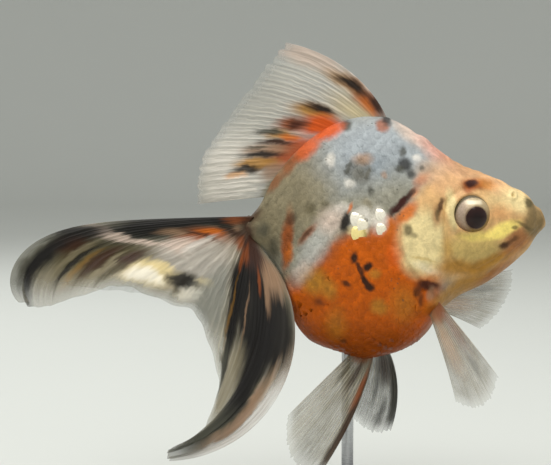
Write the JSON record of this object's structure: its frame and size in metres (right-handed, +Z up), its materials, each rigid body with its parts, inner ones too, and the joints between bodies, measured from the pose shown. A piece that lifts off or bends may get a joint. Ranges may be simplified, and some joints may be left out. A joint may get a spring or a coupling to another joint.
{
  "type": "fancy goldfish model",
  "caption": "Life-size still model of a calico high-backed goldfish with a double flowing tail, held on a plain stand with a flat base and a rod.",
  "frame": {"origin": "centre of the stand base's underside", "axes": "+X towards the snout, +Y towards the fish's left side, +Z up"},
  "size_m": [0.1295, 0.0575, 0.1175],
  "materials": {
    "skin_head": "wet satin",
    "skin_body": "wet satin, scaled",
    "lip": "wet satin",
    "eye": "high gloss",
    "dorsal_fin": "satin, translucent",
    "paired_fin": "satin, translucent",
    "tail_fin": "satin, translucent at the rim",
    "stand_base": "fine satin lacquer",
    "stand_rod": "brushed"
  },
  "bodies": {
    "root": {"head": "skin_head", "gill_cover_right": "skin_head", "gill_cover_left": "skin_head", "nostril_right": "skin_head", "nostril_left": "skin_head", "lips": "lip", "trunk": "skin_body", "tail_root": "skin_body", "eye_right": "eye", "eye_left": "eye", "dorsal_fin": "dorsal_fin", "pectoral_fin_right": "paired_fin", "pectoral_fin_left": "paired_fin", "pelvic_fin_right": "paired_fin", "pelvic_fin_left": "paired_fin", "anal_fin_right": "tail_fin", "anal_fin_left": "tail_fin", "tail_upper_lobe_right": "tail_fin", "tail_lower_lobe_right": "tail_fin", "tail_upper_lobe_left": "tail_fin", "tail_lower_lobe_left": "tail_fin", "stand_base": "stand_base", "stand_rod": "stand_rod"}
  },
  "joints": []
}
